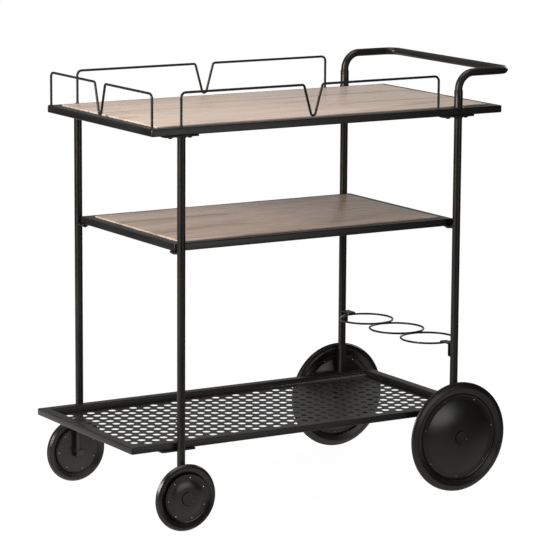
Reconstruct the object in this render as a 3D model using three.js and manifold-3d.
// Bar cart on four fixed wheels: a railed top, a middle shelf, a perforated tray and a bottle holder.
// Millimetres, +Z up. The origin is on the ground, under the middle of the cart.
// +X points to the push handle, -Y to the long side that a guest sees first.

import * as THREE from 'three';
import { mergeVertices } from 'three/addons/utils/BufferGeometryUtils.js';
import Module from 'manifold-3d';

const wasm = await Module();
wasm.setup();

// ---- Overall sizes ----
const overallLength = 812.8;
const overallDepth = 457.2;
const overallHeight = 806.45;

// ---- Clearances ----
const seatGap = 0.3;
const screwGap = 0.5;
const bearingGap = 0.4;

// ---- Legs ----
const legDiameter = 14.3;
const legWall = 1.2;
const trayOverhang = 95.4;
const handleReach = 122.4;
const legBelowAxle = 12;

// ---- Wheels ----
const largeWheelDiameter = 211.4;
const largeWheelWidth = 16;
const smallWheelDiameter = 124;
const smallWheelWidth = 14;
const wheelGap = 2;
const domeProud = 3;
const capProud = 2.45;
const capDiameter = 24;
const capBore = 3;
const capBevel = 0.8;
const axleDiameter = 8;
const axleHeadDiameter = 13;
const axleHeadHeight = 3;
const axleHeadBevel = 1;
const axleBossDiameter = 14;
const hubDiameter = 27;
const webThickness = 3;
const largeTyreInner = 166;
const smallTyreInner = 90;
const largeDomeDiameter = 150;
const smallDomeDiameter = 66.6;
const tyreShoulder = 5;

// ---- Frames: each is a ring of rectangular tube with a ledge that carries its panel ----
const railWidth = 20;
const railWall = 1.5;
const ledgeWidth = 8;
const topRailHeight = 13.5;
const trayRailHeight = 12.5;
const panelThickness = 14;

const handleRise = 72.95;
const topLeftOverhang = 62;
const topRightOverhang = 97;
const topBeyondLeg = 5;

const shelfHeight = 521.5;
const shelfPastLeg = 4.5;
const shelfInsideLeg = 16.5;

const trayHeight = 159;
const trayRightOverhang = 59;
const trayInsideLeg = 10.5;
const sheetThickness = 0.8;
const pierceDiameter = 15;
const piercePitch = 25.4;
const pierceRowPitch = 22.8;
const pierceMargin = 12;

// ---- Plates, tabs and screws ----
const plateLength = 71;
const plateThickness = 3;
const platePitch = 40;
const trayPlateReach = 22.5;
const plateWeld = 1;
const tabWidth = 16;
const tabPastScrew = 7;
const screwDiameter = 4;
const screwHeadDiameter = 9.6;
const screwHeadHeight = 3;
const screwCrown = 0.6;
const screwLength = 8;

// ---- Handle ----
const handleDiameter = 13.4;
const handleWall = 1.2;
const handleRiseBend = 32;
const handleCornerBend = 24;
const socketHeight = 33;
const socketWall = 0.7;

// ---- Guard rails ----
const guardWire = 4;
const guardHeight = 64.5;
const guardEdgeInset = 4.5;
const guardCornerBend = 9;
const guardDipBend = 5;
const guardDipHalfWidth = 20;
const guardPastLeg = 1;
const guardHandleSpace = 45;
const guardEndInset = 8;

// ---- Bottle holder ----
const ringWire = 4;
const ringCount = 3;
const ringLegGap = 26.75;
const ringHeight = 279;
const bracketThickness = 2;
const bracketWidth = 16;
const bracketDrop = 26;
const bracketScrewDrop = 15;
const bracketLap = 5;

// ---- Facets ----
const tubeSides = 12;
const wireSides = 6;
const screwSides = 8;
const pierceSides = 6;
const bendSteps = 3;
const ringSteps = 24;
const domeSteps = 3;
const shoulderSteps = 2;
const largeWheelSides = 32;
const smallWheelSides = 24;

// ---- Places worked out from the sizes above ----
const legRadius = legDiameter / 2;
const legY = overallDepth / 2 - capProud - domeProud - largeWheelWidth - wheelGap - legRadius;
const leftX = -overallLength / 2 + trayOverhang;
const rightX = overallLength / 2 - handleReach;
const topZ = overallHeight - handleRise;

const topPlace = {
  left: leftX - topLeftOverhang,
  right: rightX + topRightOverhang,
  halfDepth: legY + topBeyondLeg,
  top: topZ,
  height: topRailHeight,
};
const shelfPlace = {
  left: leftX - shelfPastLeg,
  right: rightX + shelfPastLeg,
  halfDepth: legY - shelfInsideLeg,
  top: shelfHeight,
  height: topRailHeight,
};
const trayPlace = {
  left: -overallLength / 2,
  right: rightX + trayRightOverhang,
  halfDepth: legY - trayInsideLeg,
  top: trayHeight,
  height: trayRailHeight,
};

const corners = [
  { name: 'front_left', x: leftX, side: -1, wheel: 'small' },
  { name: 'back_left', x: leftX, side: 1, wheel: 'small' },
  { name: 'front_right', x: rightX, side: -1, wheel: 'large' },
  { name: 'back_right', x: rightX, side: 1, wheel: 'large' },
];

const wheels = {
  small: {
    radius: smallWheelDiameter / 2,
    width: smallWheelWidth,
    tyreInner: smallTyreInner / 2,
    dome: smallDomeDiameter / 2,
    sides: smallWheelSides,
  },
  large: {
    radius: largeWheelDiameter / 2,
    width: largeWheelWidth,
    tyreInner: largeTyreInner / 2,
    dome: largeDomeDiameter / 2,
    sides: largeWheelSides,
  },
};

// ---- Materials ----
const steelBlack = { color: 0x1d1c1a, roughness: 0.42, metalness: 0.6 };
const tyreBlack = { color: 0x171614, roughness: 0.6, metalness: 0 };
const hubBlack = { color: 0x1c1b1a, roughness: 0.38, metalness: 0 };
const oakTop = { color: 0xcdb9aa, roughness: 0.5, metalness: 0 };
const zincBlack = { color: 0x24221f, roughness: 0.35, metalness: 0.8 };

const cart = new THREE.Group();
cart.name = 'bar_cart';

function addPart(name, geometry, finish, x = 0, y = 0, z = 0) {
  const mesh = new THREE.Mesh(geometry, new THREE.MeshStandardMaterial(finish));
  mesh.name = name;
  mesh.position.set(x, y, z);
  cart.add(mesh);
  return mesh;
}

// ---- Solids: join and cut ----
function toSolid(geometry) {
  const bare = geometry.clone();
  bare.deleteAttribute('normal');
  bare.deleteAttribute('uv');
  const merged = mergeVertices(bare);
  return new wasm.Manifold(new wasm.Mesh({
    numProp: 3,
    vertProperties: new Float32Array(merged.attributes.position.array),
    triVerts: new Uint32Array(merged.index.array),
  }));
}

function toGeometry(solid) {
  const mesh = solid.getMesh();
  const geometry = new THREE.BufferGeometry();
  geometry.setAttribute('position', new THREE.BufferAttribute(new Float32Array(mesh.vertProperties), 3));
  geometry.setIndex(new THREE.BufferAttribute(new Uint32Array(mesh.triVerts), 1));
  geometry.computeVertexNormals();
  return geometry;
}

function join(geometries) {
  let solid = toSolid(geometries[0]);
  for (const geometry of geometries.slice(1)) {
    solid = solid.add(toSolid(geometry));
  }
  return toGeometry(solid);
}

function cut(body, tools) {
  let solid = toSolid(body);
  for (const tool of tools) {
    solid = solid.subtract(toSolid(tool));
  }
  return toGeometry(solid);
}

// ---- Shapes ----
// A box between two corners.
function block(x0, x1, y0, y1, z0, z1) {
  const geometry = new THREE.BoxGeometry(x1 - x0, y1 - y0, z1 - z0);
  return geometry.translate((x0 + x1) / 2, (y0 + y1) / 2, (z0 + z1) / 2);
}

// An upright cylinder between two heights.
function post(x, y, z0, z1, radius, sides) {
  const geometry = new THREE.CylinderGeometry(radius, radius, z1 - z0, sides);
  geometry.rotateX(Math.PI / 2);
  return geometry.translate(x, y, (z0 + z1) / 2);
}

// A cylinder that lies along Y.
function pin(x, z, y0, y1, radius, sides) {
  const geometry = new THREE.CylinderGeometry(radius, radius, Math.abs(y1 - y0), sides);
  return geometry.translate(x, (y0 + y1) / 2, z);
}

function rectangle(left, right, halfDepth, target) {
  target.moveTo(left, -halfDepth);
  target.lineTo(right, -halfDepth);
  target.lineTo(right, halfDepth);
  target.lineTo(left, halfDepth);
  target.closePath();
  return target;
}

// A flat rectangular ring: the band between an outline and the same outline pulled in.
function band(place, outerInset, innerInset, z0, z1) {
  const outer = (inset, target) => rectangle(
    place.left + inset, place.right - inset, place.halfDepth - inset, target,
  );
  const shape = outer(outerInset, new THREE.Shape());
  shape.holes.push(outer(innerInset, new THREE.Path()));
  const geometry = new THREE.ExtrudeGeometry(shape, { depth: z1 - z0, bevelEnabled: false });
  return geometry.translate(0, 0, z0);
}

// A path through given points whose corners are rounded by arcs.
// Its steps land on the points themselves, so straight runs stay one facet long.
class BentPath extends THREE.Curve {
  constructor(corners3, radii, steps) {
    super();
    const points = [corners3[0]];
    for (let i = 1; i < corners3.length - 1; i += 1) {
      const corner = corners3[i];
      const toBack = corners3[i - 1].clone().sub(corner).normalize();
      const toNext = corners3[i + 1].clone().sub(corner).normalize();
      const half = toBack.angleTo(toNext) / 2;
      const radius = radii[i - 1];
      const toCentre = toBack.clone().add(toNext).normalize();
      const centre = corner.clone().addScaledVector(toCentre, radius / Math.sin(half));
      const start = corner.clone().addScaledVector(toBack, radius / Math.tan(half));
      const axis = toBack.clone().cross(toNext).normalize();
      const turn = Math.PI - 2 * half;
      for (let s = 0; s <= steps; s += 1) {
        const arm = start.clone().sub(centre);
        arm.applyAxisAngle(axis, -turn * s / steps);
        points.push(centre.clone().add(arm));
      }
    }
    points.push(corners3[corners3.length - 1]);
    this.points = points;
  }

  get stepCount() {
    return this.points.length - 1;
  }

  getPoint(t) {
    const place = t * this.stepCount;
    const i = Math.min(Math.floor(place), this.stepCount - 1);
    return this.points[i].clone().lerp(this.points[i + 1], place - i);
  }

  getPointAt(t) {
    return this.getPoint(t);
  }

  getTangentAt(t) {
    const i = Math.round(t * this.stepCount);
    const before = this.points[Math.max(i - 1, 0)];
    const after = this.points[Math.min(i + 1, this.stepCount)];
    const here = this.points[i];
    const backward = here.clone().sub(before).normalize();
    const forward = after.clone().sub(here).normalize();
    return backward.add(forward).normalize();
  }
}

function circle(radius, sides, target, centreX = 0, centreY = 0) {
  for (let i = 0; i < sides; i += 1) {
    const angle = (i / sides) * 2 * Math.PI;
    const x = centreX + radius * Math.cos(angle);
    const y = centreY + radius * Math.sin(angle);
    if (i === 0) target.moveTo(x, y);
    else target.lineTo(x, y);
  }
  target.closePath();
  return target;
}

function sweep(path, radius, sides, wall = 0) {
  const section = circle(radius, sides, new THREE.Shape());
  if (wall > 0) section.holes.push(circle(radius - wall, sides, new THREE.Path()));
  return new THREE.ExtrudeGeometry(section, {
    steps: path.stepCount,
    extrudePath: path,
    curveSegments: 1,
    bevelEnabled: false,
  });
}

function turned(profile, sides) {
  const points = profile.map(([radius, y]) => new THREE.Vector2(radius, y));
  return new THREE.LatheGeometry(points, sides, Math.PI / sides, 2 * Math.PI);
}

// ---- Top, shelf and tray frames ----
// screws: upright holes through the bottom wall of the tube, as [x, y].
function railFrame(place, screws) {
  const bottom = place.top - place.height;
  const ring = band(place, 0, railWidth, bottom, place.top);
  const ledge = band(place, railWidth - railWall, railWidth + ledgeWidth, bottom, bottom + railWall);
  const cavity = band(place, railWall, railWidth - railWall, bottom + railWall, place.top - railWall);
  const holes = screws.map(([x, y]) => post(
    x, y, bottom - railWall, bottom + 2 * railWall, screwDiameter / 2 + screwGap, screwSides,
  ));
  return cut(join([ring, ledge]), [cavity, ...holes]);
}

// A board that rests on the ledge and stands a little above the rails.
function panelBlock(place) {
  const edge = railWidth + seatGap;
  const halfDepth = place.halfDepth - edge;
  const bottom = place.top - place.height + railWall + seatGap;
  return block(place.left + edge, place.right - edge, -halfDepth, halfDepth, bottom, bottom + panelThickness);
}

// ---- Screw places, which the frames, plates and screws all share ----
function plateScrews(corner, y) {
  return [-1, 1].map((way) => [corner.x + way * platePitch / 2, y]);
}

const topRailCentre = topPlace.halfDepth - railWidth / 2;
const shelfRailCentre = shelfPlace.halfDepth - railWidth / 2;
const trayRailCentre = trayPlace.halfDepth - railWidth / 2;

const topScrews = corners.flatMap((corner) => plateScrews(corner, corner.side * topRailCentre));
const trayScrews = corners.flatMap((corner) => plateScrews(corner, corner.side * trayRailCentre));
const shelfScrews = corners.map((corner) => [corner.x, corner.side * shelfRailCentre]);

const topPlateTop = topPlace.top - topPlace.height - seatGap;
const shelfTabTop = shelfPlace.top - shelfPlace.height - seatGap;
const trayPlateTop = trayPlace.top - trayPlace.height - seatGap;

addPart('top_frame', railFrame(topPlace, topScrews), steelBlack);
addPart('top_panel', panelBlock(topPlace), oakTop);
addPart('shelf_frame', railFrame(shelfPlace, shelfScrews), steelBlack);
addPart('shelf_panel', panelBlock(shelfPlace), oakTop);
addPart('tray_frame', railFrame(trayPlace, trayScrews), steelBlack);

// The tray floor: a sheet pierced by rows of round holes, every second row shifted by half a pitch.
// Rows are centred in the sheet, and each holds as many holes as leave the margin plain.
function piercedSheet(place, top) {
  const edge = railWidth + seatGap;
  const left = place.left + edge;
  const right = place.right - edge;
  const halfDepth = place.halfDepth - edge;
  const reachX = (right - left) / 2 - pierceMargin - pierceDiameter / 2;
  const reachY = halfDepth - pierceMargin - pierceDiameter / 2;
  const rows = Math.floor(2 * reachX / pierceRowPitch) + 1;
  const longRow = Math.floor(2 * reachY / piercePitch) + 1;
  const shape = rectangle(left, right, halfDepth, new THREE.Shape());
  for (let row = 0; row < rows; row += 1) {
    const count = row % 2 === 0 ? longRow : longRow - 1;
    const x = (left + right) / 2 + (row - (rows - 1) / 2) * pierceRowPitch;
    for (let i = 0; i < count; i += 1) {
      const y = (i - (count - 1) / 2) * piercePitch;
      shape.holes.push(circle(pierceDiameter / 2, pierceSides, new THREE.Path(), x, y));
    }
  }
  const sheet = new THREE.ExtrudeGeometry(shape, { depth: sheetThickness, bevelEnabled: false });
  return sheet.translate(0, 0, top - sheetThickness);
}

const sheetTop = trayPlace.top - trayPlace.height + railWall + seatGap + sheetThickness;
addPart('tray_floor', piercedSheet(trayPlace, sheetTop), steelBlack);

// ---- Legs: tube, top plate, shelf tab, tray plate and axle boss, welded together ----
function leg(corner) {
  const { x, side, wheel } = corner;
  const y = side * legY;
  const axleZ = wheels[wheel].radius;
  const foot = axleZ - legBelowAxle;
  const plateHalf = plateLength / 2;
  const plateEdges = [side * (topPlace.halfDepth - railWidth), side * topPlace.halfDepth].sort((a, b) => a - b);
  const trayPlateOut = side * (legY - legRadius + plateWeld);
  const trayPlateIn = side * (legY - legRadius - trayPlateReach);
  const trayEdges = [trayPlateOut, trayPlateIn].sort((a, b) => a - b);
  const tabIn = side * (shelfRailCentre - tabPastScrew);
  const tabEdges = [y, tabIn].sort((a, b) => a - b);
  const bossEnd = side * (legY + legRadius + wheelGap - seatGap);

  const body = join([
    post(x, y, foot, topPlateTop - plateThickness / 2, legRadius, tubeSides),
    block(x - plateHalf, x + plateHalf, plateEdges[0], plateEdges[1],
      topPlateTop - plateThickness, topPlateTop),
    block(x - tabWidth / 2, x + tabWidth / 2, tabEdges[0], tabEdges[1],
      shelfTabTop - plateThickness, shelfTabTop),
    block(x - plateHalf, x + plateHalf, trayEdges[0], trayEdges[1],
      trayPlateTop - plateThickness, trayPlateTop),
    pin(x, axleZ, y, bossEnd, axleBossDiameter / 2, tubeSides),
  ]);

  const hole = screwDiameter / 2 + screwGap;
  const tools = [
    post(x, y, foot - legWall, topPlateTop - plateThickness, legRadius - legWall, tubeSides),
    pin(x, axleZ, y - side * legDiameter, bossEnd + side * legWall, axleDiameter / 2 + bearingGap, tubeSides),
  ];
  for (const [sx, sy] of plateScrews(corner, side * topRailCentre)) {
    tools.push(post(sx, sy, topPlateTop - 2 * plateThickness, topPlateTop + plateThickness, hole, screwSides));
  }
  for (const [sx, sy] of plateScrews(corner, side * trayRailCentre)) {
    tools.push(post(sx, sy, trayPlateTop - 2 * plateThickness, trayPlateTop + plateThickness, hole, screwSides));
  }
  tools.push(post(x, side * shelfRailCentre, shelfTabTop - 2 * plateThickness,
    shelfTabTop + plateThickness, hole, screwSides));
  if (wheel === 'large') {
    tools.push(pin(x, bracketScrewZ, y, side * (legY - legDiameter), hole, screwSides));
  }
  return cut(body, tools);
}

const bracketTop = ringHeight + ringWire / 2 + seatGap + bracketThickness;
const bracketScrewZ = bracketTop - bracketScrewDrop;

for (const corner of corners) {
  addPart(`leg_${corner.name}`, leg(corner), steelBlack);
}

// ---- Screws: domed head at the origin side, shank along +Y ----
function screwShape() {
  const head = screwHeadDiameter / 2;
  return turned([
    [0, -screwHeadHeight],
    [head * screwCrown, -screwHeadHeight],
    [head, 0],
    [screwDiameter / 2, 0],
    [screwDiameter / 2, screwLength],
    [0, screwLength],
  ], screwSides);
}

function addUprightScrews(prefix, places, seat) {
  places.forEach(([x, y], i) => {
    const screw = addPart(`${prefix}_${i + 1}`, screwShape(), zincBlack, x, y, seat - seatGap);
    screw.rotation.x = Math.PI / 2;
  });
}

addUprightScrews('top_screw', topScrews, topPlateTop - plateThickness);
addUprightScrews('shelf_screw', shelfScrews, shelfTabTop - plateThickness);
addUprightScrews('tray_screw', trayScrews, trayPlateTop - plateThickness);

// ---- Handle: one bent tube between two sockets on the top frame ----
const socketFoot = topPlace.top + seatGap;
const handleRadius = handleDiameter / 2;
const barZ = overallHeight - handleRadius;
const barX = overallLength / 2 - handleRadius;
const handleFoot = socketFoot + seatGap;
const handlePath = new BentPath(
  [
    new THREE.Vector3(rightX, -legY, handleFoot),
    new THREE.Vector3(rightX, -legY, barZ),
    new THREE.Vector3(barX, -legY, barZ),
    new THREE.Vector3(barX, legY, barZ),
    new THREE.Vector3(rightX, legY, barZ),
    new THREE.Vector3(rightX, legY, handleFoot),
  ],
  [handleRiseBend, handleCornerBend, handleCornerBend, handleRiseBend],
  bendSteps,
);
addPart('handle', sweep(handlePath, handleRadius, tubeSides, handleWall), steelBlack);

const socketInner = handleRadius + seatGap;
for (const side of [-1, 1]) {
  const socket = turned([
    [socketInner, 0],
    [socketInner + socketWall, 0],
    [socketInner + socketWall, socketHeight],
    [socketInner, socketHeight],
    [socketInner, 0],
  ], tubeSides);
  const name = side < 0 ? 'handle_socket_front' : 'handle_socket_back';
  addPart(name, socket, steelBlack, rightX, side * legY, socketFoot).rotation.x = Math.PI / 2;
}

// ---- Guard rails: wire with a V in the middle that dips to the frame ----
function guardRail(from, to, fixed, alongX) {
  const middle = (from + to) / 2;
  const high = topPlace.top + guardHeight - guardWire / 2;
  const low = topPlace.top + seatGap + guardWire / 2;
  const foot = topPlace.top + seatGap;
  const at = (u, z) => (alongX ? new THREE.Vector3(u, fixed, z) : new THREE.Vector3(fixed, u, z));
  const path = new BentPath(
    [
      at(from, foot),
      at(from, high),
      at(middle - guardDipHalfWidth, high),
      at(middle, low - guardDipBend * (1 / Math.sin(dipHalfAngle(high - low)) - 1)),
      at(middle + guardDipHalfWidth, high),
      at(to, high),
      at(to, foot),
    ],
    [guardCornerBend, guardDipBend, guardDipBend, guardDipBend, guardCornerBend],
    bendSteps,
  );
  return sweep(path, guardWire / 2, wireSides);
}

function dipHalfAngle(depth) {
  return Math.atan2(guardDipHalfWidth, depth);
}

const guardLeft = leftX - guardPastLeg;
const guardRight = rightX - guardHandleSpace;
const guardY = topPlace.halfDepth - guardEdgeInset;
addPart('guard_rail_front', guardRail(guardLeft, guardRight, -guardY, true), steelBlack);
addPart('guard_rail_back', guardRail(guardLeft, guardRight, guardY, true), steelBlack);
const endHalf = topPlace.halfDepth - guardEndInset;
addPart('guard_rail_end', guardRail(-endHalf, endHalf, topPlace.left + guardEdgeInset, false), steelBlack);

// ---- Bottle holder: wire rings in a row that fills the space between the right legs, less a gap at each ----
const ringPitch = (2 * (legY - legRadius - ringLegGap) + seatGap) / ringCount;
const ringRadius = (ringPitch - ringWire - seatGap) / 2;
for (let i = 0; i < ringCount; i += 1) {
  const y = (i - (ringCount - 1) / 2) * ringPitch;
  const ring = new THREE.TorusGeometry(ringRadius, ringWire / 2, wireSides, ringSteps);
  addPart(`bottle_ring_${i + 1}`, ring, steelBlack, rightX, y, ringHeight);
}

const rowEnd = ((ringCount - 1) / 2) * ringPitch + ringRadius + ringWire / 2;
for (const side of [-1, 1]) {
  const name = side < 0 ? 'front' : 'back';
  const face = legY - legRadius - seatGap;
  const plateEdges = [side * (face - bracketThickness), side * face].sort((a, b) => a - b);
  const flangeEdges = [side * (rowEnd - bracketLap), side * face].sort((a, b) => a - b);
  const x0 = rightX - bracketWidth / 2;
  const x1 = rightX + bracketWidth / 2;
  const body = join([
    block(x0, x1, plateEdges[0], plateEdges[1], bracketTop - bracketDrop, bracketTop),
    block(x0, x1, flangeEdges[0], flangeEdges[1], bracketTop - bracketThickness, bracketTop),
  ]);
  const hole = pin(rightX, bracketScrewZ, side * (face - 2 * bracketThickness), side * (face + bracketThickness),
    screwDiameter / 2 + screwGap, screwSides);
  addPart(`bottle_bracket_${name}`, cut(body, [hole]), steelBlack);
  const seat = side * (face - bracketThickness - seatGap);
  const screw = addPart(`bottle_screw_${name}`, screwShape(), zincBlack, rightX, seat, bracketScrewZ);
  screw.rotation.z = side < 0 ? Math.PI : 0;
}

// ---- Wheels: profiles run from the inner side (low y) to the outer side (high y) ----
// Points of a quarter of a circle about a centre.
function quarter(centreR, centreY, radius, start, steps) {
  const points = [];
  for (let i = 0; i <= steps; i += 1) {
    const angle = start + (i / steps) * Math.PI / 2;
    points.push([centreR + radius * Math.cos(angle), centreY + radius * Math.sin(angle)]);
  }
  return points;
}

// The corner points stand outside the round tread, so that its flats touch the true circle.
function tyreShape(wheel) {
  const half = wheel.width / 2;
  const tread = wheel.radius / Math.cos(Math.PI / wheel.sides);
  const inner = wheel.tyreInner;
  const lip = half - tyreShoulder / 2;
  const round = [tread - tyreShoulder, half - tyreShoulder];
  return turned([
    [inner, -lip],
    [inner + tyreShoulder, -half],
    ...quarter(round[0], -round[1], tyreShoulder, -Math.PI / 2, shoulderSteps),
    ...quarter(round[0], round[1], tyreShoulder, 0, shoulderSteps),
    [inner + tyreShoulder, half],
    [inner, lip],
    [inner, -lip],
  ], wheel.sides);
}

// One face of the disc, from the flat round its hub down to the web: a dome with its steepest slope at its edge.
function domePoints(flat, edge, crown, foot) {
  const points = [];
  for (let i = 0; i <= domeSteps; i += 1) {
    const share = i / domeSteps;
    points.push([flat + (edge - flat) * share, crown - (crown - foot) * share ** 2]);
  }
  return points;
}

// The disc: a thin web with a groove at its rim, a dome on both faces and a recess for the cap.
function discShape(wheel) {
  const crown = wheel.width / 2 + domeProud;
  const innerCrown = wheel.width / 2 - seatGap;
  const web = webThickness / 2;
  const rim = wheel.tyreInner - seatGap;
  const bore = axleDiameter / 2 + bearingGap;
  const recess = capDiameter / 2 + seatGap;
  const flat = hubDiameter / 2;
  return turned([
    [bore, -innerCrown],
    ...domePoints(flat, wheel.dome, -innerCrown, -web),
    [rim, -web],
    [rim, web],
    ...domePoints(flat, wheel.dome, crown, web).reverse(),
    [recess, crown],
    [recess, crown - capBore],
    [bore, crown - capBore],
    [bore, -innerCrown],
  ], wheel.sides);
}

// The cap: a flat button whose skirt sits in the hub's recess over the end of the axle.
function capShape(wheel) {
  const radius = capDiameter / 2;
  const crown = wheel.width / 2 + domeProud + capProud;
  const floor = wheel.width / 2 + domeProud - capBore + seatGap;
  return turned([
    [0, floor],
    [radius, floor],
    [radius, crown - capBevel],
    [radius - capBevel, crown],
    [0, crown],
  ], tubeSides);
}

// The axle: its head is inside the cart, its shank goes through the leg and ends under the cap.
function axleShape(wheel) {
  const legInner = -wheel.width / 2 - wheelGap - legDiameter;
  const head = axleHeadDiameter / 2;
  const shank = axleDiameter / 2;
  const seat = legInner - seatGap;
  const end = wheel.width / 2 + domeProud - capBore - seatGap;
  return turned([
    [0, seat - axleHeadHeight],
    [head - axleHeadBevel, seat - axleHeadHeight],
    [head, seat - axleHeadHeight + axleHeadBevel],
    [head, seat],
    [shank, seat],
    [shank, end],
    [0, end],
  ], tubeSides);
}

for (const corner of corners) {
  const wheel = wheels[corner.wheel];
  const y = corner.side * (legY + legRadius + wheelGap + wheel.width / 2);
  const pieces = [
    ['tyre', tyreShape(wheel), tyreBlack],
    ['wheel_disc', discShape(wheel), hubBlack],
    ['hub_cap', capShape(wheel), hubBlack],
    ['axle', axleShape(wheel), zincBlack],
  ];
  for (const [piece, geometry, finish] of pieces) {
    const mesh = addPart(`${piece}_${corner.name}`, geometry, finish, corner.x, y, wheel.radius);
    mesh.rotation.z = corner.side < 0 ? Math.PI : 0;
  }
}

export default cart;
